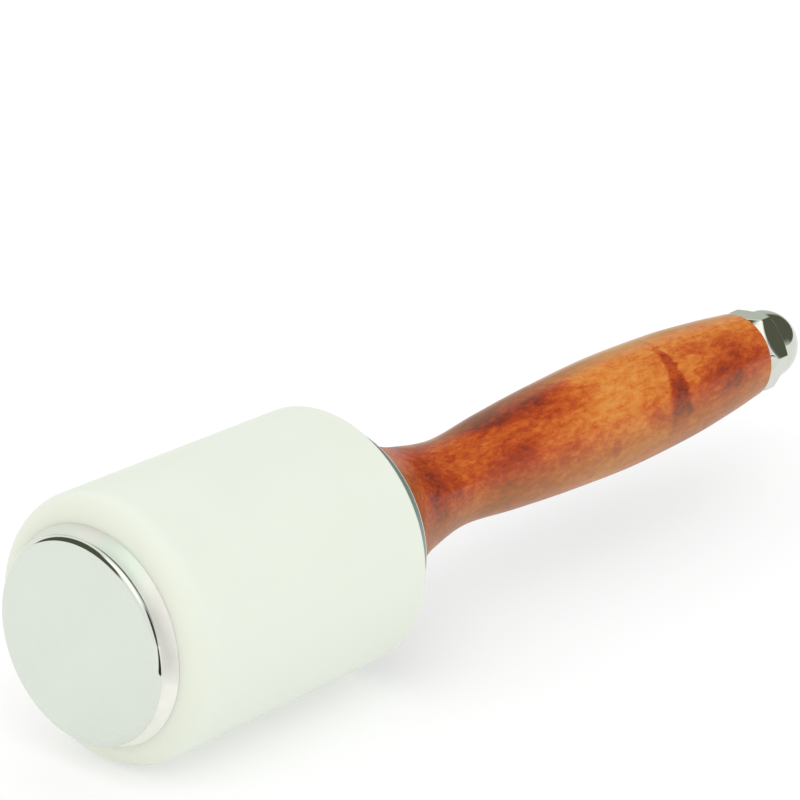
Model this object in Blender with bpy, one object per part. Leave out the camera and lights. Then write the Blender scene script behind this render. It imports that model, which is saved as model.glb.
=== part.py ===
"""Nylon-headed striking mallet, built as its six separate pieces on one axis.

Units are metres.  +X runs along the mallet from the front cap's flat face (x = 0)
to the domed nut at the end of the handle, and +Z is up.  Every piece is turned
about the X axis, and the nut is cut from hexagonal bar.
"""
import math

import bmesh
import bpy
from mathutils import Matrix, Vector

MM = 0.001

# Driving dimensions.
HEAD_RADIUS = 28.5 * MM           # nylon head, next to the front cap
HEAD_REAR_RADIUS = 27.3 * MM      # the head tapers slightly towards the handle
ROD_RADIUS = 5.0 * MM             # M10 tie rod
GAP = 0.3 * MM                    # air left between touching pieces
BORE_CLEARANCE = 0.4 * MM         # the rod passes loosely through the stacked pieces
CHAMFER_SLOPE = math.tan(math.radians(30))
TAP_RADIUS = ROD_RADIUS + GAP
TAP_CONE = TAP_RADIUS * CHAMFER_SLOPE

# Stations along X where the stacked pieces meet.
CAP_THICKNESS = 4.6 * MM
HEAD_START = CAP_THICKNESS + GAP
HEAD_END = 72.1 * MM
WASHER_START = HEAD_END + GAP
WASHER_END = WASHER_START + 4.6 * MM
HANDLE_START = WASHER_END + GAP
HANDLE_END = 200.4 * MM
NUT_START = HANDLE_END + GAP

# Front cap: a satin disc with a polished rim, a flared wall and a tapped boss.
CAP_FACE_RADIUS = 20.6 * MM
CAP_RIM_FILLET = 1.3 * MM
CAP_BASE_RADIUS = 23.2 * MM
CAP_FLARE_RADIUS = 22.45 * MM     # where the wall starts to flare out to its base
CAP_FLARE_START = 3.1 * MM
BOSS_RADIUS = 12.0 * MM
BOSS_END = CAP_THICKNESS + 8.0 * MM
CAP_TAP_BOTTOM = 2.0 * MM

# Nylon head.
HEAD_FRONT_ROUND = 5.5 * MM
HEAD_REAR_ROUND = 1.6 * MM
COUNTERBORE_RADIUS = BOSS_RADIUS + GAP
COUNTERBORE_END = BOSS_END + GAP

# Steel washer between the head and the handle.
WASHER_RADIUS = 22.5 * MM
WASHER_FILLET = 1.0 * MM

# Turned handle: flange, neck, belly and tapered end.
FLANGE_RADIUS = 21.5 * MM
FLANGE_LAND = 0.5 * MM
FLANGE_CHAMFER = 0.3 * MM
NECK_RADIUS = 9.45 * MM
BELLY_RADIUS = 12.4 * MM
HANDLE_END_RADIUS = 9.4 * MM
HANDLE_END_ROUND = 1.5 * MM

# Domed cap nut.
NUT_ACROSS_FLATS = 16.0 * MM
NUT_CHAMFER_RADIUS = 7.7 * MM
NUT_CORNER_END = 4.7 * MM
NUT_DOME_RADIUS = 7.6 * MM
NUT_DOME_CENTRE = 7.0 * MM
NUT_TURN = math.radians(-5)       # where tightening has left the flats, off level
NUT_TAP_DEPTH = 12.0 * MM

# Tie rod.
ROD_START = CAP_TAP_BOTTOM + TAP_CONE + GAP
ROD_END = NUT_START + NUT_TAP_DEPTH - TAP_CONE - GAP
ROD_CHAMFER = 0.8 * MM

SEGMENTS = 64                     # sides of every round piece


def clear_scene():
    for item in list(bpy.data.objects):
        bpy.data.objects.remove(item, do_unlink=True)


def make_material(name, colour, roughness, metallic):
    material = bpy.data.materials.new(name)
    material.use_nodes = True
    shader = material.node_tree.nodes["Principled BSDF"]
    shader.inputs["Base Color"].default_value = (*colour, 1.0)
    shader.inputs["Roughness"].default_value = roughness
    shader.inputs["Metallic"].default_value = metallic
    return material


def arc(centre_x, centre_r, radius, start_deg, end_deg, steps):
    """Points (x, r) on an arc; 0 degrees points along +X and 90 away from the axis."""
    points = []
    for i in range(steps + 1):
        angle = math.radians(start_deg + (end_deg - start_deg) * i / steps)
        points.append((centre_x + radius * math.cos(angle),
                       centre_r + radius * math.sin(angle)))
    return points


def smooth_curve(knots, steps):
    """Points on a monotone cubic curve through (x, r) knots, each span cut into steps."""
    slopes = [(b[1] - a[1]) / (b[0] - a[0]) for a, b in zip(knots, knots[1:])]
    tangents = [slopes[0]]
    for left, right in zip(slopes, slopes[1:]):
        same_way = left * right > 0
        tangents.append(2 * left * right / (left + right) if same_way else 0.0)
    tangents.append(slopes[-1])
    points = [knots[0]]
    for k, (a, b) in enumerate(zip(knots, knots[1:])):
        width = b[0] - a[0]
        for i in range(1, steps + 1):
            t = i / steps
            radius = ((1 + 2 * t) * (1 - t) ** 2 * a[1] + t * (1 - t) ** 2 * width * tangents[k]
                      + t * t * (3 - 2 * t) * b[1] + t * t * (t - 1) * width * tangents[k + 1])
            points.append((a[0] + width * t, radius))
    return points


def turned_mesh(name, profile, closed):
    """Spin an (x, r) outline about X.  An open outline starts and ends on the axis.

    The spin starts half a facet off the vertical, so the lying mallet rests on flat facets.
    """
    bm = bmesh.new()
    half_facet = math.pi / SEGMENTS
    verts = [bm.verts.new((x, r * math.sin(half_facet), r * math.cos(half_facet)))
             for x, r in profile]
    edges = [bm.edges.new(pair) for pair in zip(verts, verts[1:])]
    if closed:
        edges.append(bm.edges.new((verts[-1], verts[0])))
    bmesh.ops.spin(bm, geom=verts + edges, cent=(0, 0, 0), axis=(1, 0, 0),
                   angle=2 * math.pi, steps=SEGMENTS, use_merge=True)
    bmesh.ops.remove_doubles(bm, verts=bm.verts, dist=1e-6)
    bmesh.ops.recalc_face_normals(bm, faces=bm.faces)
    mesh = bpy.data.meshes.new(name)
    bm.to_mesh(mesh)
    bm.free()
    return mesh


def add_object(name, mesh, material, start_x=0.0):
    """Link a mesh whose own x = 0 lies at start_x on the mallet's axis."""
    obj = bpy.data.objects.new(name, mesh)
    obj.location.x = start_x
    mesh.materials.append(material)
    mesh.shade_smooth()
    mesh.set_sharp_from_angle(angle=math.radians(35))
    bpy.context.collection.objects.link(obj)
    return obj


def add_turned(name, profile, material, closed=True):
    """Add a turned piece with its origin at its own front end."""
    start_x = min(x for x, _ in profile)
    local = [(x - start_x, r) for x, r in profile]
    return add_object(name, turned_mesh(name, local, closed), material, start_x)


def tapped_hole(mouth_x, bottom_x):
    """Outline of a blind tapped hole with a drilled cone, from its mouth to the axis."""
    cone = math.copysign(TAP_CONE, bottom_x - mouth_x)
    return [(mouth_x, TAP_RADIUS), (bottom_x - cone, TAP_RADIUS), (bottom_x, 0.0)]


def build_front_cap(material):
    rim = arc(CAP_RIM_FILLET, CAP_FACE_RADIUS, CAP_RIM_FILLET, 180, 100, 5)
    profile = [(0.0, 0.0)] + rim
    profile.append((CAP_FLARE_START, CAP_FLARE_RADIUS))
    profile.append((CAP_THICKNESS, CAP_BASE_RADIUS))
    profile += [(CAP_THICKNESS, BOSS_RADIUS), (BOSS_END, BOSS_RADIUS)]
    profile += tapped_hole(BOSS_END, CAP_TAP_BOTTOM)
    return add_turned("front_cap", profile, material, closed=False)


def build_nylon_head(material):
    bore = ROD_RADIUS + BORE_CLEARANCE
    front = arc(HEAD_START + HEAD_FRONT_ROUND, HEAD_RADIUS - HEAD_FRONT_ROUND,
                HEAD_FRONT_ROUND, 180, 90, 8)
    rear = arc(HEAD_END - HEAD_REAR_ROUND, HEAD_REAR_RADIUS - HEAD_REAR_ROUND,
               HEAD_REAR_ROUND, 90, 0, 6)
    inside = [(HEAD_END, bore), (COUNTERBORE_END, bore),
              (COUNTERBORE_END, COUNTERBORE_RADIUS), (HEAD_START, COUNTERBORE_RADIUS)]
    return add_turned("nylon_head", front + rear + inside, material)


def build_rear_washer(material):
    bore = ROD_RADIUS + BORE_CLEARANCE
    rim = WASHER_RADIUS - WASHER_FILLET
    front = arc(WASHER_START + WASHER_FILLET, rim, WASHER_FILLET, 180, 90, 4)
    rear = arc(WASHER_END - WASHER_FILLET, rim, WASHER_FILLET, 90, 0, 4)
    profile = [(WASHER_START, bore)] + front + rear + [(WASHER_END, bore)]
    return add_turned("rear_washer", profile, material)


def handle_outline():
    """The flange's cove, the neck, the long belly and the taper to the nut."""
    length = HANDLE_END - HANDLE_START
    knots = [
        (HANDLE_START + FLANGE_LAND, FLANGE_RADIUS),
        (HANDLE_START + length * 0.012, FLANGE_RADIUS * 0.94),
        (HANDLE_START + length * 0.063, FLANGE_RADIUS * 0.72),
        (HANDLE_START + length * 0.138, FLANGE_RADIUS * 0.54),
        (HANDLE_START + length * 0.249, NECK_RADIUS),
        (HANDLE_START + length * 0.365, BELLY_RADIUS * 0.86),
        (HANDLE_START + length * 0.496, BELLY_RADIUS * 0.948),
        (HANDLE_START + length * 0.652, BELLY_RADIUS),
        (HANDLE_START + length * 0.799, BELLY_RADIUS * 0.955),
        (HANDLE_START + length * 0.919, BELLY_RADIUS * 0.848),
        (HANDLE_END - HANDLE_END_ROUND, HANDLE_END_RADIUS),
    ]
    return smooth_curve(knots, 3)


def build_handle(material):
    bore = ROD_RADIUS + BORE_CLEARANCE
    end_corner = arc(HANDLE_END - HANDLE_END_ROUND, HANDLE_END_RADIUS - HANDLE_END_ROUND,
                     HANDLE_END_ROUND, 90, 0, 4)
    profile = [(HANDLE_START, bore), (HANDLE_START, FLANGE_RADIUS - FLANGE_CHAMFER),
               (HANDLE_START + FLANGE_CHAMFER, FLANGE_RADIUS)]
    profile += handle_outline()
    profile += end_corner[1:]
    profile.append((HANDLE_END, bore))
    return add_turned("handle", profile, material)


def build_tie_rod(material):
    tip = ROD_RADIUS - ROD_CHAMFER
    profile = [(ROD_START, 0.0), (ROD_START, tip), (ROD_START + ROD_CHAMFER, ROD_RADIUS),
               (ROD_END - ROD_CHAMFER, ROD_RADIUS), (ROD_END, tip), (ROD_END, 0.0)]
    return add_turned("tie_rod", profile, material, closed=False)


def hexagon_bar(name, across_flats, start_x, end_x):
    """A hexagonal bar along X, with its flats NUT_TURN away from level."""
    bm = bmesh.new()
    bmesh.ops.create_cone(bm, cap_ends=True, segments=6, depth=end_x - start_x,
                          radius1=across_flats / math.sqrt(3), radius2=across_flats / math.sqrt(3))
    bmesh.ops.rotate(bm, verts=bm.verts, matrix=Matrix.Rotation(math.radians(90), 3, "Y"))
    bmesh.ops.rotate(bm, verts=bm.verts, matrix=Matrix.Rotation(NUT_TURN, 3, "X"))
    bmesh.ops.translate(bm, verts=bm.verts, vec=Vector(((start_x + end_x) / 2, 0, 0)))
    mesh = bpy.data.meshes.new(name)
    bm.to_mesh(mesh)
    bm.free()
    return mesh


def add_cutter(target, name, mesh, operation):
    """Shape the target with a hidden solid that shares its origin."""
    cutter = bpy.data.objects.new(name, mesh)
    cutter.parent = target
    cutter.hide_render = True
    cutter.display_type = "WIRE"
    bpy.context.collection.objects.link(cutter)
    modifier = target.modifiers.new(name, "BOOLEAN")
    modifier.operation = operation
    modifier.object = cutter


def build_cap_nut(material):
    """Hexagonal bar turned to a 45 degree base chamfer and a dome, then tapped from the base."""
    corner = NUT_ACROSS_FLATS / math.sqrt(3)
    beyond = corner + 0.5 * MM
    rise = beyond - NUT_CHAMFER_RADIUS
    shoulder_end = NUT_CORNER_END - (beyond - corner) * CHAMFER_SLOPE
    shoulder_top = shoulder_end + (beyond - NUT_DOME_RADIUS) * CHAMFER_SLOPE
    blank = [(0.0, 0.0), (0.0, NUT_CHAMFER_RADIUS), (rise, beyond), (shoulder_end, beyond),
             (shoulder_top, NUT_DOME_RADIUS)]
    blank += arc(NUT_DOME_CENTRE, 0.0, NUT_DOME_RADIUS, 90, 0, 12)
    blank[-1] = (NUT_DOME_CENTRE + NUT_DOME_RADIUS, 0.0)
    tap = [(-1.0 * MM, 0.0)] + tapped_hole(-1.0 * MM, NUT_TAP_DEPTH)
    dome_top = NUT_DOME_CENTRE + NUT_DOME_RADIUS
    bar = hexagon_bar("cap_nut", NUT_ACROSS_FLATS, -1.0 * MM, dome_top + 1.0 * MM)
    nut = add_object("cap_nut", bar, material, NUT_START)
    add_cutter(nut, "nut_blank", turned_mesh("nut_blank", blank, False), "INTERSECT")
    add_cutter(nut, "nut_tap", turned_mesh("nut_tap", tap, False), "DIFFERENCE")
    return nut


def build_mallet():
    satin_steel = make_material("satin_chromed_steel", (0.62, 0.64, 0.63), 0.30, 1.0)
    chrome = make_material("polished_chrome", (0.70, 0.71, 0.70), 0.12, 1.0)
    washer_steel = make_material("washer_chrome", (0.55, 0.58, 0.56), 0.20, 1.0)
    plain_steel = make_material("plain_steel", (0.45, 0.45, 0.46), 0.35, 1.0)
    nylon = make_material("white_nylon", (0.86, 0.90, 0.82), 0.38, 0.0)
    wood = make_material("lacquered_wood", (0.48, 0.16, 0.05), 0.25, 0.0)
    build_front_cap(satin_steel)
    build_tie_rod(plain_steel)
    build_nylon_head(nylon)
    build_rear_washer(washer_steel)
    build_handle(wood)
    build_cap_nut(chrome)


clear_scene()
build_mallet()
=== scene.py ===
"""Nylon-headed mallet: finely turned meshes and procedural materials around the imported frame.

The mallet's axis is the world X axis, from the front cap's face at x = 0 to the domed nut.
Every piece is centred on that axis, so a piece is described by an outline of (x, r) points.
"""
import math

import bpy
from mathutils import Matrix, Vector


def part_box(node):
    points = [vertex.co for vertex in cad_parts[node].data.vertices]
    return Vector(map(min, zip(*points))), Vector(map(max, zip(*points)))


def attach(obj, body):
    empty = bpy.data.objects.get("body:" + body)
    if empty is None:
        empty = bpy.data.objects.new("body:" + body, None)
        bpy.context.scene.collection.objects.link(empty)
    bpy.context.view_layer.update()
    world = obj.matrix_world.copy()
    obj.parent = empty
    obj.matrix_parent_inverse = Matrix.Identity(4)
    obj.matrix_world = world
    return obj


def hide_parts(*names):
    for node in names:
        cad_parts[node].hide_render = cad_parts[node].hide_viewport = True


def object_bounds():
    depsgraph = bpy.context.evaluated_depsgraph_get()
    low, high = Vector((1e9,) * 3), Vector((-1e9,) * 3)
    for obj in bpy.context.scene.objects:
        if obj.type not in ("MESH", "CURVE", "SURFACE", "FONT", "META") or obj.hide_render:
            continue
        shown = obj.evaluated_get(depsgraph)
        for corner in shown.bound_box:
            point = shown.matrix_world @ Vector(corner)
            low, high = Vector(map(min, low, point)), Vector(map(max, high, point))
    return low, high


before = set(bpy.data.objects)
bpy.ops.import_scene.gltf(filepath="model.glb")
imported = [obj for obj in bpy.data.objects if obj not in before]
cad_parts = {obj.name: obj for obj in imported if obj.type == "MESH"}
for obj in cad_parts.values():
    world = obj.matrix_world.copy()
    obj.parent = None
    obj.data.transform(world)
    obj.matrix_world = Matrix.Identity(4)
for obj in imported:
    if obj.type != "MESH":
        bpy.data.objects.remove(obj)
cad_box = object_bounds()

MM = 0.001
SEGMENTS = 288                    # sides of a round piece
SEAM = 0.04 * MM                  # air left where two pieces touch


def extent(node):
    """(start x, end x, radius) of a CAD node."""
    low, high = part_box(node)
    return low.x, high.x, max(high.y, high.z)


CAP_START, CAP_END, CAP_RADIUS = extent("front_cap")
ROD_START, ROD_END, ROD_RADIUS = extent("tie_rod")
HEAD_START, HEAD_END, HEAD_RADIUS = extent("nylon_head")
WASHER_START, WASHER_END, WASHER_RADIUS = extent("rear_washer")
HANDLE_START, HANDLE_END, FLANGE_RADIUS = extent("handle")
NUT_START, NUT_END, NUT_CORNER = extent("cap_nut")

# The CAD leaves a gap between touching pieces; here each pair meets in the middle of it.
CAD_GAP = WASHER_START - HEAD_END
CAP_SEAM = HEAD_START - CAD_GAP / 2
WASHER_SEAM = HEAD_END + CAD_GAP / 2
HANDLE_SEAM = WASHER_END + CAD_GAP / 2
NUT_SEAM = HANDLE_END + CAD_GAP / 2
BORE_RADIUS = ROD_RADIUS + 0.4 * MM
TAP_RADIUS = ROD_RADIUS + CAD_GAP

# Front cap.
FACE_RADIUS = 20.6 * MM
RIM_FILLET = 1.3 * MM
RIM_STEP = 0.12 * MM              # the satin wall starts just inside the polished rim
BOSS_RADIUS = 12.0 * MM
BOSS_CHAMFER = 0.5 * MM
CAP_TAP_BOTTOM = 2.0 * MM         # depth left between the face and the tapped hole
CAP_TAP_CHAMFER = 0.6 * MM

# Nylon head.
HEAD_REAR_RADIUS = 27.3 * MM
HEAD_FRONT_ROUND = 5.5 * MM
HEAD_REAR_ROUND = 1.6 * MM
HEAD_BORE_CHAMFER = 0.5 * MM

# Washer.
WASHER_FILLET = 0.35 * MM
WASHER_BORE_CHAMFER = 0.4 * MM

# Handle.
FLANGE_LAND = 0.5 * MM
FLANGE_ROUND = 0.3 * MM
HANDLE_BORE_CHAMFER = 0.3 * MM
NECK_RADIUS = 9.45 * MM
BELLY_RADIUS = 12.4 * MM
HANDLE_END_RADIUS = 9.4 * MM
HANDLE_END_ROUND = 1.5 * MM

# Domed nut.
NUT_APOTHEM = 8.0 * MM
NUT_DOME_RADIUS = 7.6 * MM
NUT_CHAMFER_RADIUS = 7.15 * MM
NUT_SHOULDER = 4.7 * MM           # length of the hexagon's corners
NUT_TURN = math.radians(-5)       # where tightening has left the flats, off level
NUT_EDGE_SHARPNESS = 90           # power of the norm that rounds the nut's edges
NUT_TAP_DEPTH = 12.0 * MM
NUT_TAP_CHAMFER = 0.5 * MM
CHAMFER_SLOPE = math.tan(math.radians(30))
HOLE_TIP_RADIUS = 0.05 * MM       # where a drilled cone is closed

# Tie rod.
THREAD_PITCH = 1.5 * MM
THREAD_DEPTH = 0.8 * MM
THREAD_LENGTH = 24 * MM
ROD_CHAMFER = 0.8 * MM
ROD_SEGMENTS = 96
RINGS_PER_TURN = 10

# The grip's stain, as (share of its length, depth of the stain).
STAIN_DEPTHS = [
    (0.00, 0.62), (0.07, 0.62), (0.12, 0.74), (0.18, 0.64), (0.24, 0.52), (0.33, 0.70), (0.41, 0.54),
    (0.50, 0.34), (0.56, 0.24), (0.70, 0.24), (0.77, 0.36), (0.90, 0.54), (1.00, 0.47),
]

# Local stains: station and reach along the axis (mm), lift and reach across it, amount.
STAIN_PATCHES = [
    (93, 5, 0.00, 0.50, 0.08),
    (94, 5, -0.45, 0.30, 0.12),
    (99, 5, -0.15, 0.35, 0.14),
    (119, 8, -0.15, 0.32, 0.12),
    (126, 17, 0.85, 0.36, 0.26),
    (137, 14, 0.58, 0.36, 0.30),
    (147, 2, -0.62, 0.20, 0.25),
    (165, 12, -0.30, 0.55, 0.14),
    (174, 5, -0.45, 0.25, 0.12),
    (183, 24, 0.85, 0.42, -0.26),
    (188, 15, -0.20, 0.50, 0.18),
]
RING_STATION = 168.1 * MM         # the dark growth ring round the grip
RING_LEAN = 1.6 * MM
RING_WANDER = 0.9 * MM
RING_NARROW = 0.8 * MM
RING_WIDE = 3.4 * MM
RING_DEPTH = 0.40

# The side of the grip that faces the viewer, as (y, z), and the way up across it.
SEEN_SIDE = (-0.849, 0.529)
SEEN_UP = (0.529, 0.849)

# Studio.
VIEW_AZIMUTH = math.radians(-47.32)
VIEW_ELEVATION = math.radians(22.89)
VIEW_TARGET = Vector((0.09681, 0.00321, 0.02077))
VIEW_DISTANCE = 1.63
LENS = 360
SENSOR = 36
KEY_OFFSET = Vector((-0.5, -0.5))
KEY_HEIGHT = 1.1
KEY_SIZE = (0.9, 0.9)
KEY_WATTS = 2.5
FLOOR_REACH = 6.0
FLOOR_GLOW = 0.40
CARD_LIFT = 0.2 * MM
CARD_CORNERS = [(-0.032, -0.078), (-0.38, -3.2), (0.70, -3.2), (0.026, -0.072)]

# What mirror-like surfaces see: direction, angles where a zone is full and where it ends, radiance.
REFLECTED_ZONES = [
    ((0.85, -0.15, 0.50), 30, 52, (0.12, 0.125, 0.09, 1.0)),
    ((-0.60, 0.62, 0.52), 33, 39, (0.09, 0.10, 0.07, 1.0)),
    ((0.10, -0.93, 0.30), 14, 26, (0.05, 0.05, 0.05, 1.0)),
    ((0.68, 0.68, 0.28), 12, 24, (0.62, 0.66, 0.60, 1.0)),
    ((-0.42, -0.28, 0.86), 18, 34, (1.45, 1.45, 1.40, 1.0)),
]
WHITE = (1.0, 1.0, 1.0, 1.0)


# ---------------------------------------------------------------- outlines

def arc(centre_x, centre_r, radius, start_deg, end_deg, steps):
    """Points (x, r) on an arc; 0 degrees points along +X and 90 away from the axis."""
    points = []
    for i in range(steps + 1):
        angle = math.radians(start_deg + (end_deg - start_deg) * i / steps)
        points.append((centre_x + radius * math.cos(angle), centre_r + radius * math.sin(angle)))
    return points


def straight(start, end, steps):
    """Points from start to end, both included."""
    return [(start[0] + (end[0] - start[0]) * i / steps,
             start[1] + (end[1] - start[1]) * i / steps) for i in range(steps + 1)]


def smooth_curve(knots, steps):
    """Points on a monotone cubic curve through (x, r) knots, each span cut into steps."""
    slopes = [(b[1] - a[1]) / (b[0] - a[0]) for a, b in zip(knots, knots[1:])]
    tangents = [slopes[0]]
    for left, right in zip(slopes, slopes[1:]):
        same_way = left * right > 0
        tangents.append(2 * left * right / (left + right) if same_way else 0.0)
    tangents.append(slopes[-1])
    points = [knots[0]]
    for k, (a, b) in enumerate(zip(knots, knots[1:])):
        width = b[0] - a[0]
        for i in range(1, steps + 1):
            t = i / steps
            radius = ((1 + 2 * t) * (1 - t) ** 2 * a[1] + t * (1 - t) ** 2 * width * tangents[k]
                      + t * t * (3 - 2 * t) * b[1] + t * t * (t - 1) * width * tangents[k + 1])
            points.append((a[0] + width * t, radius))
    return points


# ---------------------------------------------------------------- meshes

def ring_mesh(name, rings, closed):
    """Skin a stack of rings; a closed stack is a loop, an open one ends in two fans."""
    count = len(rings[0])
    verts = [point for ring in rings for point in ring]
    faces = []
    pairs = [(j, j + 1) for j in range(len(rings) - 1)]
    if closed:
        pairs.append((len(rings) - 1, 0))
    for a, b in pairs:
        for i in range(count):
            k = (i + 1) % count
            faces.append((a * count + i, a * count + k, b * count + k, b * count + i))
    if not closed:
        for first, faces_back in ((0, True), ((len(rings) - 1) * count, False)):
            verts.append((verts[first][0], 0.0, 0.0))
            centre = len(verts) - 1
            for i in range(count):
                fan = (first + i, first + (i + 1) % count, centre)
                faces.append(fan[::-1] if faces_back else fan)
    mesh = bpy.data.meshes.new(name)
    mesh.from_pydata(verts, [], faces)
    mesh.validate()
    mesh.shade_smooth()
    return mesh


def ring(x, radius_at, count=SEGMENTS):
    """One ring at x; radius_at gives the radius at an angle measured from +Y towards +Z."""
    angles = [2 * math.pi * i / count for i in range(count)]
    return [(x, radius_at(a) * math.cos(a), radius_at(a) * math.sin(a)) for a in angles]


def turned(name, outline, closed=True):
    return ring_mesh(name, [ring(x, lambda angle, r=r: r) for x, r in outline], closed)


def add_piece(name, mesh, body, sharp_deg=35):
    piece = bpy.data.objects.new(name + "_skin", mesh)
    bpy.context.scene.collection.objects.link(piece)
    mesh.set_sharp_from_angle(angle=math.radians(sharp_deg))
    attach(piece, body)
    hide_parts(name)
    return piece


def paint(piece, materials, pick=lambda centre: 0):
    """Give the piece its materials; pick chooses one for a face from the face's centre."""
    for material in materials:
        piece.data.materials.append(material)
    for polygon in piece.data.polygons:
        polygon.material_index = pick(polygon.center)


# ---------------------------------------------------------------- pieces

def build_front_cap():
    """Satin face, polished rounded rim, flared satin wall and a tapped boss behind."""
    rim_end = RIM_FILLET * 0.9
    wall_start = FACE_RADIUS + RIM_FILLET - RIM_STEP
    outline = straight((CAP_START, 0.4 * MM), (CAP_START, FACE_RADIUS), 12)
    outline += arc(RIM_FILLET, FACE_RADIUS, RIM_FILLET, 180, 90, 14)[1:]
    outline.append((rim_end + RIM_STEP, wall_start + RIM_STEP * 0.3))
    outline.append((rim_end + 2 * RIM_STEP, wall_start))
    shoulder = CAP_SEAM - SEAM / 2
    wall = [(rim_end + 2.5 * RIM_STEP, wall_start + 0.01 * MM),
            (shoulder * 0.55, wall_start + 0.32 * MM),
            (shoulder * 0.84, CAP_RADIUS - 0.45 * MM),
            (shoulder, CAP_RADIUS)]
    outline += smooth_curve(wall, 6)
    outline.append((shoulder, BOSS_RADIUS))
    outline += [(CAP_END - BOSS_CHAMFER, BOSS_RADIUS), (CAP_END, BOSS_RADIUS - BOSS_CHAMFER)]
    tap_bottom = CAP_START + CAP_TAP_BOTTOM
    cone = TAP_RADIUS * CHAMFER_SLOPE
    outline += [(CAP_END, TAP_RADIUS + CAP_TAP_CHAMFER), (CAP_END - CAP_TAP_CHAMFER, TAP_RADIUS)]
    outline += [(tap_bottom + cone, TAP_RADIUS), (tap_bottom, HOLE_TIP_RADIUS)]
    return add_piece("front_cap", turned("front_cap", outline, False), "core")


def build_nylon_head():
    """Turned nylon: a big front round-over, a slight taper and a small rear round."""
    start = CAP_SEAM + SEAM / 2
    end = WASHER_SEAM - SEAM / 2
    front = arc(start + HEAD_FRONT_ROUND, HEAD_RADIUS - HEAD_FRONT_ROUND,
                HEAD_FRONT_ROUND, 180, 90, 28)
    rear = arc(end - HEAD_REAR_ROUND, HEAD_REAR_RADIUS - HEAD_REAR_ROUND,
               HEAD_REAR_ROUND, 90, 0, 18)
    side = straight(front[-1], rear[0], 40)[1:-1]
    counterbore = CAP_END + CAD_GAP
    recess = BOSS_RADIUS + CAD_GAP
    inside = [(end, BORE_RADIUS + HEAD_BORE_CHAMFER), (end - HEAD_BORE_CHAMFER, BORE_RADIUS),
              (counterbore, BORE_RADIUS), (counterbore, recess), (start, recess)]
    mesh = turned("nylon_head", front + side + rear + inside)
    return add_piece("nylon_head", mesh, "head")


def build_rear_washer():
    """Flat steel disc with rounded edges and a chamfered bore."""
    start = WASHER_SEAM + SEAM / 2
    end = HANDLE_SEAM - SEAM / 2
    rim = WASHER_RADIUS - WASHER_FILLET
    outline = arc(start + WASHER_FILLET, rim, WASHER_FILLET, 180, 90, 10)
    outline += arc(end - WASHER_FILLET, rim, WASHER_FILLET, 90, 0, 10)
    outline += [(end, BORE_RADIUS + WASHER_BORE_CHAMFER), (end - WASHER_BORE_CHAMFER, BORE_RADIUS),
                (start + WASHER_BORE_CHAMFER, BORE_RADIUS), (start, BORE_RADIUS + WASHER_BORE_CHAMFER)]
    return add_piece("rear_washer", turned("rear_washer", outline), "washer")


def handle_outline(start, end):
    """The flange's cove, the neck, the long belly and the taper to the nut."""
    length = HANDLE_END - HANDLE_START
    shares = [(0.012, FLANGE_RADIUS * 0.94), (0.063, FLANGE_RADIUS * 0.72),
              (0.138, FLANGE_RADIUS * 0.54), (0.249, NECK_RADIUS), (0.365, BELLY_RADIUS * 0.86),
              (0.496, BELLY_RADIUS * 0.948), (0.652, BELLY_RADIUS), (0.799, BELLY_RADIUS * 0.955),
              (0.919, BELLY_RADIUS * 0.848)]
    knots = [(start + FLANGE_LAND, FLANGE_RADIUS)]
    knots += [(HANDLE_START + length * share, radius) for share, radius in shares]
    knots.append((end - HANDLE_END_ROUND, HANDLE_END_RADIUS))
    return smooth_curve(knots, 14)


def build_handle():
    """Turned wooden grip with a through bore for the tie rod."""
    start = HANDLE_SEAM + SEAM / 2
    end = NUT_SEAM - SEAM / 2
    outline = arc(start + FLANGE_ROUND, FLANGE_RADIUS - FLANGE_ROUND, FLANGE_ROUND, 180, 90, 6)
    outline += handle_outline(start, end)
    outline += arc(end - HANDLE_END_ROUND, HANDLE_END_RADIUS - HANDLE_END_ROUND,
                   HANDLE_END_ROUND, 90, 0, 10)[1:]
    outline += [(end, BORE_RADIUS + HANDLE_BORE_CHAMFER), (end - HANDLE_BORE_CHAMFER, BORE_RADIUS),
                (start + HANDLE_BORE_CHAMFER, BORE_RADIUS), (start, BORE_RADIUS + HANDLE_BORE_CHAMFER)]
    return add_piece("handle", turned("handle", outline), "grip")


def build_tie_rod():
    """Steel rod with a rolled thread near each end."""
    def radius_at(x):
        def inner(angle):
            inside = min(x - ROD_START, ROD_END - x)
            start = ROD_RADIUS - max(0.0, ROD_CHAMFER - inside)
            fade = min(1.0, max(0.0, (THREAD_LENGTH - inside) / THREAD_PITCH))
            phase = (x / THREAD_PITCH - angle / (2 * math.pi)) % 1.0
            groove = THREAD_DEPTH * min(1.0, max(0.0, 1.25 * abs(2 * phase - 1) - 0.05))
            return min(start, ROD_RADIUS - groove * fade)
        return inner

    step = THREAD_PITCH / RINGS_PER_TURN
    first = int(THREAD_LENGTH / step) + RINGS_PER_TURN
    stations = [ROD_START + i * step for i in range(first)]
    stations += [ROD_END - i * step for i in reversed(range(first))]
    rings = [ring(x, radius_at(x), ROD_SEGMENTS) for x in stations]
    return add_piece("tie_rod", ring_mesh("tie_rod", rings, False), "core", 60)


def hexagon_radius(angle):
    """Distance from the axis to the nut's flats, with slightly rounded corners."""
    total = 0.0
    for i in range(6):
        facing = math.cos(angle - NUT_TURN - math.pi / 2 - i * math.pi / 3)
        total += max(0.0, facing) ** NUT_EDGE_SHARPNESS
    return NUT_APOTHEM / total ** (1 / NUT_EDGE_SHARPNESS)


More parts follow.
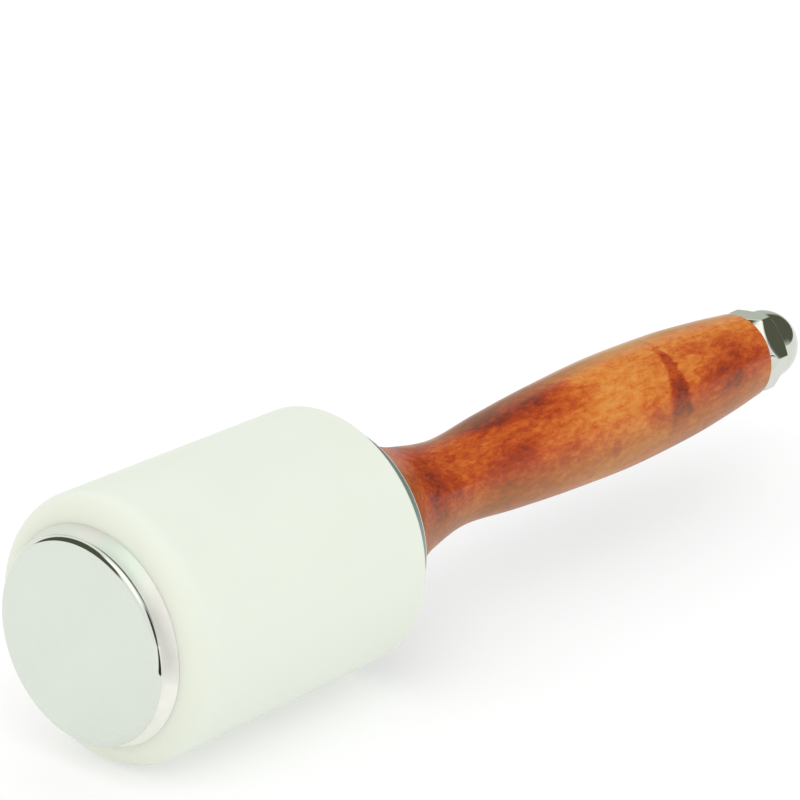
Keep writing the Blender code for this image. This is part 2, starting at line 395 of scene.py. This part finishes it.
def build_cap_nut():
    """Hexagon bar blended with a turned blank: chamfered base, shoulder and dome."""
    base = NUT_SEAM + SEAM / 2
    dome_centre = NUT_END - NUT_DOME_RADIUS
    rise = NUT_CORNER - NUT_CHAMFER_RADIUS
    shoulder = NUT_START + NUT_SHOULDER
    fall = (NUT_CORNER - NUT_DOME_RADIUS) * CHAMFER_SLOPE
    tap_bottom = NUT_START + NUT_TAP_DEPTH
    cone = TAP_RADIUS * CHAMFER_SLOPE
    inside = [(tap_bottom, HOLE_TIP_RADIUS), (tap_bottom - cone, TAP_RADIUS),
              (base + NUT_TAP_CHAMFER, TAP_RADIUS), (base, TAP_RADIUS + NUT_TAP_CHAMFER)]
    outside = [(base, NUT_CHAMFER_RADIUS - 0.2 * MM)]
    outside += straight((base + 0.1 * MM, NUT_CHAMFER_RADIUS),
                        (base + 0.1 * MM + rise, NUT_CORNER), 14)
    outside += straight((base + 0.3 * MM + rise, NUT_CORNER + 0.3 * MM),
                        (shoulder - 0.2 * MM, NUT_CORNER + 0.3 * MM), 10)
    outside += straight((shoulder, NUT_CORNER), (shoulder + fall, NUT_DOME_RADIUS), 16)
    outside += arc(dome_centre, 0.0, NUT_DOME_RADIUS, 88, 1, 46)

    def blended(limit):
        def inner(angle):
            power = NUT_EDGE_SHARPNESS
            flats = hexagon_radius(angle)
            ratio = limit / flats
            if ratio < 0.9:
                return limit
            return limit / (1 + ratio ** power) ** (1 / power)
        return inner

    rings = [ring(x, lambda angle, r=r: r) for x, r in inside]
    rings += [ring(x, blended(r)) for x, r in outside]
    return add_piece("cap_nut", ring_mesh("cap_nut", rings, False), "nut", 50)


# ---------------------------------------------------------------- node helpers

class Graph:
    """Short-hand for building a node tree; socket values and links are given alike."""

    def __init__(self, tree):
        self.tree = tree
        tree.nodes.clear()

    def add(self, kind, inputs=None, **settings):
        node = self.tree.nodes.new(kind)
        for key, value in settings.items():
            setattr(node, key, value)
        for key, value in (inputs or {}).items():
            self.put(node.inputs[key], value)
        return node

    def put(self, socket, value):
        if isinstance(value, bpy.types.NodeSocket):
            self.tree.links.new(value, socket)
        else:
            socket.default_value = value

    def math(self, operation, a, b=0.0):
        node = self.add("ShaderNodeMath", {0: a, 1: b}, operation=operation)
        return node.outputs[0]

    def ramp(self, value, low, high, to_low=0.0, to_high=1.0, kind="SMOOTHSTEP"):
        inputs = {"Value": value, "From Min": low, "From Max": high,
                  "To Min": to_low, "To Max": to_high}
        return self.add("ShaderNodeMapRange", inputs, interpolation_type=kind).outputs["Result"]

    def noise(self, place, scale, detail=3.0, roughness=0.55, distortion=0.0):
        inputs = {"Vector": place, "Scale": scale, "Detail": detail,
                  "Roughness": roughness, "Distortion": distortion}
        return self.add("ShaderNodeTexNoise", inputs).outputs["Fac"]

    def stretch(self, place, x, y, z):
        inputs = {0: place, 1: (x, y, z)}
        return self.add("ShaderNodeVectorMath", inputs, operation="MULTIPLY").outputs[0]

    def mix(self, factor, a, b, blend="MIX"):
        node = self.add("ShaderNodeMix", data_type="RGBA", blend_type=blend)
        self.put(node.inputs[0], factor)
        self.put(node.inputs[6], a)
        self.put(node.inputs[7], b)
        return node.outputs[2]

    def colours(self, factor, stops):
        node = self.add("ShaderNodeValToRGB", {"Fac": factor})
        ramp = node.color_ramp
        while len(ramp.elements) < len(stops):
            ramp.elements.new(0.5)
        for element, (position, colour) in zip(ramp.elements, stops):
            element.position = position
            element.color = colour
        return node.outputs["Color"]

    def bump(self, height, distance, strength=1.0, normal=None):
        node = self.add("ShaderNodeBump", {"Height": height, "Distance": distance, "Strength": strength})
        if normal is not None:
            self.put(node.inputs["Normal"], normal)
        return node.outputs["Normal"]


def rgb(red, green, blue):
    """A colour given as it looks on screen, 0 to 255, as linear light."""
    linear = [(c / 255 / 12.92) if c / 255 <= 0.04045 else ((c / 255 + 0.055) / 1.055) ** 2.4
              for c in (red, green, blue)]
    return (*linear, 1.0)


def new_material(name):
    """(material, graph, coordinates): x along the axis, y, z, the radius and the position itself."""
    material = bpy.data.materials.new(name)
    material.use_nodes = True
    g = Graph(material.node_tree)
    place = g.add("ShaderNodeTexCoord").outputs["Object"]
    xyz = g.add("ShaderNodeSeparateXYZ", {0: place})
    x, y, z = xyz.outputs
    radius = g.math("SQRT", g.math("ADD", g.math("MULTIPLY", y, y), g.math("MULTIPLY", z, z)))
    return material, g, {"place": place, "x": x, "y": y, "z": z, "radius": radius}


def finish_material(g, inputs):
    shader = g.add("ShaderNodeBsdfPrincipled", inputs)
    g.add("ShaderNodeOutputMaterial", {"Surface": shader.outputs[0]})


def turning_marks(g, along, pitch, wander):
    """Fine tool marks: value changes only along one coordinate, with a little wander."""
    stepped = g.add("ShaderNodeCombineXYZ", {0: g.math("MULTIPLY", along, 1 / pitch), 1: wander})
    return g.noise(stepped.outputs[0], 1.0, 2.0, 0.6)


# ---------------------------------------------------------------- materials

def satin_face_material():
    """The cap's ground striking face: satin chrome with faint concentric lines."""
    material, g, c = new_material("satin_face")
    lines = turning_marks(g, c["radius"], 0.10 * MM, 0.0)
    cloud = g.noise(c["place"], 60.0, 2.0)
    colour = g.mix(cloud, rgb(215, 222, 212), rgb(224, 230, 220))
    rough = g.math("ADD", g.ramp(lines, 0.3, 0.7, 0.26, 0.32), g.ramp(cloud, 0.3, 0.7, 0.0, 0.05))
    scratches = g.noise(g.stretch(c["place"], 1.0, 900.0, 140.0), 1.0, 2.0)
    height = g.math("ADD", lines, g.math("MULTIPLY", scratches, 0.35))
    finish_material(g, {"Base Color": colour, "Metallic": 1.0, "Roughness": rough,
                        "Normal": g.bump(height, 0.002 * MM, 0.5)})
    return material


def satin_wall_material():
    """The cap's flared wall behind the rim, satin rather than mirror bright, with a painted reflection
    that lightens it below its top.
    """
    material, g, c = new_material("satin_wall")
    lines = turning_marks(g, c["x"], 0.12 * MM, 0.0)
    cloud = g.noise(c["place"], 180.0, 2.0)
    tint = g.noise(c["place"], 45.0, 1.0)
    warm = g.mix(g.ramp(tint, 0.4, 0.6), rgb(216, 226, 212), rgb(232, 228, 220))
    # Painted reflection: below its top the wall is lightened towards near white.
    warm = g.mix(g.ramp(c["z"], 18 * MM, 4 * MM, 0.0, 0.8), warm, rgb(248, 244, 238))
    colour = g.mix(g.ramp(cloud, 0.3, 0.7, 0.0, 0.3), warm, rgb(210, 220, 206))
    rough = g.ramp(lines, 0.3, 0.7, 0.36, 0.46)
    finish_material(g, {"Base Color": colour, "Metallic": 0.45, "Roughness": rough,
                        "Normal": g.bump(lines, 0.003 * MM, 0.5)})
    return material


def chrome_material(name, tone, roughness, polish_scale, metallic=1.0):
    """Polished plating with slight waviness, fine hairlines and handling marks."""
    material, g, c = new_material(name)
    cloud = g.noise(c["place"], 140.0, 3.0)
    hairline = g.noise(g.stretch(c["place"], 260.0, 2200.0, 2200.0), 1.0, 2.0)
    marks = g.ramp(cloud, 0.55, 0.8, 0.0, 0.05)
    rough = g.math("ADD", g.ramp(hairline, 0.35, 0.75, roughness, roughness * 1.8), marks)
    colour = g.mix(cloud, rgb(*[t - 6 for t in tone]), rgb(*tone))
    wave = g.noise(c["place"], polish_scale, 1.0)
    finish_material(g, {"Base Color": colour, "Metallic": metallic, "Roughness": rough,
                        "Normal": g.bump(wave, 0.02 * MM, 0.35, g.bump(hairline, 0.0006 * MM, 0.5))})
    return material


def nylon_material():
    """Natural white nylon: satin, faintly translucent, creamier towards its edges."""
    material, g, c = new_material("natural_nylon")
    cloud = g.noise(c["place"], 38.0, 2.0)
    lines = turning_marks(g, c["x"], 0.22 * MM, 0.0)
    speck = g.noise(c["place"], 2600.0, 2.0)
    body = g.mix(cloud, rgb(224, 230, 217), rgb(229, 234, 222))
    front = g.ramp(c["x"], HEAD_START, HEAD_START + 4.0 * MM, 0.3, 0.0)
    colour = g.mix(front, body, rgb(222, 223, 202))
    rough = g.math("ADD", g.ramp(cloud, 0.3, 0.7, 0.34, 0.44), g.ramp(lines, 0.3, 0.7, 0.0, 0.05))
    height = g.math("ADD", lines, g.math("MULTIPLY", speck, 0.25))
    finish_material(g, {"Base Color": colour, "Roughness": rough, "IOR": 1.5,
                        "Specular IOR Level": 0.35,
                        "Subsurface Weight": 0.35, "Subsurface Radius": (1.0, 0.95, 0.75),
                        "Subsurface Scale": 2.2 * MM,
                        "Normal": g.bump(height, 0.012 * MM, 0.45)})
    return material


def threaded_steel_material():
    """Zinc-plated rod, brightest on the thread crests, with painted shade darkening the thread grooves.
    """
    material, g, c = new_material("zinc_steel")
    cloud = g.noise(c["place"], 300.0, 3.0)
    # Painted shade: the thread grooves are darkened towards their roots.
    crest = g.ramp(c["radius"], ROD_RADIUS - THREAD_DEPTH, ROD_RADIUS)
    colour = g.mix(crest, rgb(120, 120, 118), g.mix(cloud, rgb(176, 178, 176), rgb(196, 196, 190)))
    rough = g.ramp(cloud, 0.3, 0.7, 0.28, 0.42)
    finish_material(g, {"Base Color": colour, "Metallic": 1.0, "Roughness": rough,
                        "Normal": g.bump(cloud, 0.01 * MM, 0.4)})
    return material


def wood_zones(g, c):
    """Which way a point on the grip faces: lift runs up across the side that faces the viewer."""
    def facing(way):
        along_y = g.math("MULTIPLY", c["y"], way[0])
        along_z = g.math("MULTIPLY", c["z"], way[1])
        return g.math("DIVIDE", g.math("ADD", along_y, along_z), c["radius"])

    return facing(SEEN_UP), g.ramp(facing(SEEN_SIDE), -0.5, 0.3)


def stain_along(g, x):
    """How deep the stain is along the grip: deep at the neck, thin over the belly."""
    share = g.ramp(x, HANDLE_START, HANDLE_END, kind="LINEAR")
    return g.colours(share, [(at, (depth, depth, depth, 1.0)) for at, depth in STAIN_DEPTHS])


def local_stains(g, c, lift, seen):
    """The darker and lighter patches of STAIN_PATCHES, only on the side that is seen."""
    result = 0.0
    for station, reach, lift_at, lift_reach, amount in STAIN_PATCHES:
        along = g.math("DIVIDE", g.math("SUBTRACT", c["x"], station * MM), reach * MM)
        across = g.math("DIVIDE", g.math("SUBTRACT", lift, lift_at), lift_reach)
        distance = g.math("ADD", g.math("MULTIPLY", along, along),
                          g.math("MULTIPLY", across, across))
        strength = g.math("MULTIPLY", g.ramp(distance, 1.0, 0.0), seen)
        result = g.math("ADD", result, g.math("MULTIPLY", strength, amount))
    return result


def growth_ring(g, c, lift, wander):
    """The dark ring round the grip, leaning and widening towards its underside."""
    centre = g.math("ADD", g.math("MULTIPLY", lift, RING_LEAN), RING_STATION)
    centre = g.math("ADD", centre, g.ramp(wander, 0.3, 0.7, -RING_WANDER, RING_WANDER, "LINEAR"))
    offset = g.math("ABSOLUTE", g.math("SUBTRACT", c["x"], centre))
    width = g.ramp(lift, 0.8, -0.45, RING_NARROW, RING_WIDE, "LINEAR")
    below = g.ramp(lift, -0.85, -0.4, 0.25, 1.0)
    above = g.ramp(lift, 0.85, 0.45, 0.4, 1.0)
    fade = g.math("MULTIPLY", below, above)
    return g.math("MULTIPLY", g.ramp(g.math("DIVIDE", offset, width), 1.25, 0.6), fade)


def wood_material():
    """Mottled orange and red-brown stain under clear gloss lacquer, greyer near the flange, with a
    painted sheen along the top edge and painted shade and a painted floor reflection underneath.
    """
    material, g, c = new_material("stained_wood")
    lift, seen = wood_zones(g, c)
    stretched = g.stretch(c["place"], 0.5, 1.0, 1.0)
    blotch = g.noise(stretched, 75.0, 3.0, 0.6, 0.4)
    mottle = g.noise(stretched, 330.0, 4.0, 0.7, 0.6)
    figure = g.noise(stretched, 1000.0, 3.0, 0.65, 0.3)
    grain = g.noise(g.stretch(c["place"], 80.0, 1600.0, 1600.0), 1.0, 4.0, 0.6)
    layers = [
        g.ramp(blotch, 0.25, 0.75, -0.15, 0.15, "LINEAR"),
        g.ramp(mottle, 0.25, 0.75, -0.22, 0.22, "LINEAR"),
        g.ramp(figure, 0.25, 0.75, -0.20, 0.20, "LINEAR"),
        # Painted shade: the stain deepens towards the underside.
        g.ramp(lift, 0.2, -0.6, 0.0, 0.08),
        g.ramp(grain, 0.30, 0.70, -0.05, 0.05, "LINEAR"),
        local_stains(g, c, lift, seen),
        g.math("MULTIPLY", growth_ring(g, c, lift, mottle), RING_DEPTH),
    ]
    depth = stain_along(g, c["x"])
    for layer in layers:
        depth = g.math("ADD", depth, layer)
    colour = g.colours(depth, [
        (0.00, rgb(216, 144, 72)),
        (0.22, rgb(209, 125, 52)),
        (0.48, rgb(192, 90, 35)),
        (0.72, rgb(168, 64, 26)),
        (0.90, rgb(142, 54, 28)),
        (1.00, rgb(118, 48, 30)),
    ])
    # Painted sheen and shade: a grey-brown along the top edge of the seen side, lighter towards the end.
    shade = g.mix(g.ramp(c["x"], 142 * MM, 162 * MM), rgb(116, 88, 54), rgb(160, 134, 84))
    edge = g.math("MULTIPLY", g.ramp(lift, 0.74, 0.98, 0.0, 0.60), seen)
    colour = g.mix(edge, colour, shade)
    # Painted reflection of the floor: the underside of the seen side turns grey-olive.
    painted_floor_reflection = g.math("MULTIPLY", g.ramp(lift, -0.15, -0.85, 0.0, 0.42), seen)
    colour = g.mix(painted_floor_reflection, colour, rgb(154, 134, 82))
    colour = g.mix(g.ramp(c["x"], 92 * MM, 80 * MM, 0.0, 0.34), colour, rgb(138, 122, 84))
    pores = g.ramp(g.noise(g.stretch(c["place"], 160.0, 1700.0, 1700.0), 1.0, 2.0), 0.66, 0.78)
    colour = g.mix(g.math("MULTIPLY", pores, 0.30), colour, rgb(92, 38, 20))
    bounce = g.add("ShaderNodeLightPath").outputs["Is Diffuse Ray"]
    colour = g.mix(bounce, colour, rgb(150, 146, 142))
    finish_material(g, {"Base Color": colour, "Roughness": g.ramp(mottle, 0.3, 0.7, 0.42, 0.55),
                        "Specular IOR Level": 0.0,
                        "Coat Weight": g.ramp(c["x"], 80 * MM, 100 * MM, 0.3, 0.6), "Coat IOR": 1.5,
                        "Coat Roughness": g.ramp(blotch, 0.3, 0.7, 0.16, 0.26),
                        "Normal": g.bump(grain, 0.02 * MM, 0.4),
                        "Coat Normal": g.bump(g.noise(c["place"], 420.0, 2.0), 0.03 * MM, 0.25)})
    return material


# ---------------------------------------------------------------- studio

def direction(azimuth, elevation):
    """Unit vector from the object towards a place seen at azimuth and elevation."""
    return Vector((math.sin(azimuth) * math.cos(elevation),
                   -math.cos(azimuth) * math.cos(elevation), math.sin(elevation)))


def build_world():
    """White surroundings; mirror-like surfaces also see dark flags and a bright panel."""
    world = bpy.data.worlds.new("studio")
    bpy.context.scene.world = world
    world.use_nodes = True
    g = Graph(world.node_tree)
    towards = g.add("ShaderNodeTexCoord").outputs["Generated"]
    seen = WHITE
    for centre, core, edge, radiance in REFLECTED_ZONES:
        inputs = {0: towards, 1: Vector(centre).normalized()}
        facing = g.add("ShaderNodeVectorMath", inputs, operation="DOT_PRODUCT").outputs["Value"]
        zone = g.ramp(facing, math.cos(math.radians(edge)), math.cos(math.radians(core)))
        seen = g.mix(zone, seen, radiance)
    glossy = g.add("ShaderNodeLightPath").outputs["Is Glossy Ray"]
    colour = g.mix(glossy, WHITE, seen)
    background = g.add("ShaderNodeBackground", {"Color": colour, "Strength": 1.0})
    g.add("ShaderNodeOutputWorld", {"Surface": background.outputs[0]})


def add_softbox(name, place, target, size, watts):
    light = bpy.data.lights.new(name, "AREA")
    light.shape = "RECTANGLE"
    light.size, light.size_y = size
    light.energy = watts
    lamp = bpy.data.objects.new(name, light)
    lamp.visible_glossy = False
    lamp.location = place
    lamp.rotation_mode = "QUATERNION"
    lamp.rotation_quaternion = (Vector(place) - Vector(target)).to_track_quat("Z", "Y")
    bpy.context.scene.collection.objects.link(lamp)


def build_floor(height):
    """A pale light table: it glows a little, so the shadows on it stay soft."""
    mesh = bpy.data.meshes.new("floor")
    signs = [(-1, -1), (1, -1), (1, 1), (-1, 1)]
    corners = [(x * FLOOR_REACH, y * FLOOR_REACH, height) for x, y in signs]
    mesh.from_pydata(corners, [], [(0, 1, 2, 3)])
    floor = bpy.data.objects.new("floor", mesh)
    bpy.context.scene.collection.objects.link(floor)
    material, g, c = new_material("pale_floor")
    cloud = g.noise(c["place"], 3.0, 2.0)
    colour = g.mix(cloud, (0.58, 0.58, 0.58, 1.0), (0.60, 0.60, 0.60, 1.0))
    finish_material(g, {"Base Color": colour, "Roughness": 0.9, "Specular IOR Level": 0.0,
                        "Emission Color": WHITE, "Emission Strength": FLOOR_GLOW})
    mesh.materials.append(material)


def build_dark_card(low):
    """A dark card on the floor in front of the head, seen only in reflections."""
    mesh = bpy.data.meshes.new("dark_card")
    corners = [(x, y, low.z + CARD_LIFT) for x, y in CARD_CORNERS]
    mesh.from_pydata(corners, [], [(0, 1, 2, 3)])
    card = bpy.data.objects.new("dark_card", mesh)
    bpy.context.scene.collection.objects.link(card)
    card.visible_camera = False
    card.visible_diffuse = False
    card.visible_shadow = False
    material, g, c = new_material("dark_card")
    cloud = g.noise(c["place"], 20.0, 2.0)
    colour = g.mix(cloud, (0.03, 0.03, 0.03, 1.0), (0.05, 0.05, 0.05, 1.0))
    finish_material(g, {"Base Color": colour, "Roughness": 0.9, "Specular IOR Level": 0.0})
    mesh.materials.append(material)


def build_camera(target, distance):
    camera = bpy.data.objects.new("camera", bpy.data.cameras.new("camera"))
    back = direction(VIEW_AZIMUTH, VIEW_ELEVATION)
    camera.data.lens = LENS
    camera.data.sensor_width = SENSOR
    camera.location = target + back * distance
    camera.rotation_mode = "QUATERNION"
    camera.rotation_quaternion = back.to_track_quat("Z", "Y")
    bpy.context.scene.collection.objects.link(camera)
    bpy.context.scene.camera = camera


# ---------------------------------------------------------------- assembly

def build_pieces():
    chrome = chrome_material("polished_chrome_plating", (222, 227, 218), 0.04, 90.0)
    # Painted reflection: the washer's teal-grey plating tone stands in for what it reflects.
    washer_plating_painted_reflection = chrome_material("washer_plating_painted_reflection", (146, 166, 160), 0.32, 60.0, 0.55)
    # Painted highlight: a lighter, pinkish copy of the plating for the washer's rounded rear edge.
    painted_bevel_highlight = chrome_material("washer_bevel_painted_highlight", (240, 228, 216), 0.30, 60.0, 0.25)
    nut_chrome = chrome_material("nut_plating", (212, 216, 206), 0.04, 90.0)
    face = satin_face_material()
    wall = satin_wall_material()
    rim_end = RIM_FILLET * 1.15

    def cap_zone(centre):
        spread = math.hypot(centre.y, centre.z)
        if spread < FACE_RADIUS and centre.x < 0.01 * MM:
            return 0
        return 1 if centre.x < rim_end and spread > FACE_RADIUS else 2

    paint(build_front_cap(), [face, chrome, wall], cap_zone)
    paint(build_nylon_head(), [nylon_material()])
    # The washer's rounded rear edge gets the painted highlight.
    bevel_start = WASHER_END - WASHER_FILLET
    paint(build_rear_washer(), [washer_plating_painted_reflection, painted_bevel_highlight], lambda centre: int(centre.x > bevel_start))
    paint(build_handle(), [wood_material()])
    paint(build_tie_rod(), [threaded_steel_material()])
    paint(build_cap_nut(), [nut_chrome])


def build_studio():
    low, high = cad_box
    middle = (low + high) / 2
    build_world()
    build_floor(low.z)
    build_dark_card(low)
    key = Vector((middle.x + KEY_OFFSET.x, middle.y + KEY_OFFSET.y, KEY_HEIGHT))
    add_softbox("key", key, middle, KEY_SIZE, KEY_WATTS)
    build_camera(VIEW_TARGET, VIEW_DISTANCE)


build_pieces()
build_studio()
bpy.context.scene.view_settings.view_transform = "Standard"
